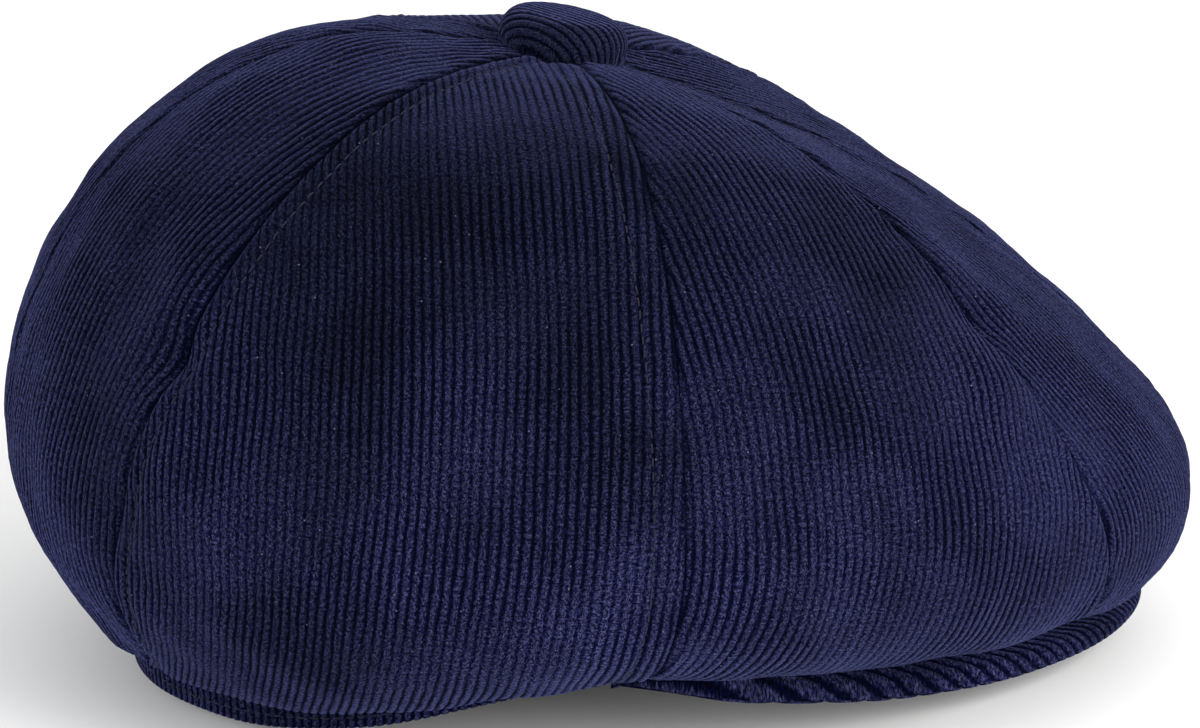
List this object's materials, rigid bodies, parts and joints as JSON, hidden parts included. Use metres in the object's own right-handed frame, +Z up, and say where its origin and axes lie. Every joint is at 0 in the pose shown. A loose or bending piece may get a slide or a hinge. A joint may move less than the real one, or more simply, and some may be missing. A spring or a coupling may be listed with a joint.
{
  "type": "newsboy cap",
  "caption": "Full-crowned newsboy cap of ribbed corduroy panels meeting at a covered button, with a short stiff peak that snaps up under the front of the crown.",
  "frame": {"origin": "middle of the head opening, level with the hem at the back of the neck", "axes": "+Z up towards the button, -Y towards the peak, +X towards the wearer's left"},
  "size_m": [0.258, 0.2813, 0.1544],
  "materials": {
    "corduroy": "navy cotton corduroy, eleven wales to the inch",
    "lining": "dark satin-weave lining",
    "interlining": "stiff woven interlining",
    "sweatband": "ribbed cotton sweatband tape",
    "label": "blank woven label",
    "board": "stiff moulded polyethylene board",
    "button_metal": "pressed aluminium sheet",
    "snap_metal": "blackened brass press stud"
  },
  "bodies": {
    "crown": {"band_back": "corduroy", "button_back": "button_metal", "button_cover": "corduroy", "button_prong": "button_metal", "button_shell": "button_metal", "button_washer": "button_metal", "crown_panel_back_left": "corduroy", "crown_panel_back_right": "corduroy", "crown_panel_front_left": "corduroy", "crown_panel_front_right": "corduroy", "crown_panel_side_back_left": "corduroy", "crown_panel_side_back_right": "corduroy", "crown_panel_side_front_left": "corduroy", "crown_panel_side_front_right": "corduroy", "interlining_back": "interlining", "lining_panel_back_left": "lining", "lining_panel_back_right": "lining", "lining_panel_front_left": "lining", "lining_panel_front_right": "lining", "lining_panel_side_back_left": "lining", "lining_panel_side_back_right": "lining", "lining_panel_side_front_left": "lining", "lining_panel_side_front_right": "lining", "size_label": "label", "snap_socket": "snap_metal", "sweatband_back": "sweatband"},
    "peak": {"peak_board": "board", "peak_top_cover": "corduroy", "peak_under_cover": "corduroy", "band_front": "corduroy", "interlining_front": "interlining", "sweatband_front": "sweatband", "snap_stud": "snap_metal"}
  },
  "joints": [
    {"name": "peak_flex", "type": "hinge", "parent": "crown", "child": "peak", "pos_m": [0, 0.004, 0.019], "axis": [1, 0, 0], "range_deg": [0, 10], "stiffness_Nm_per_rad": 0.3}
  ]
}
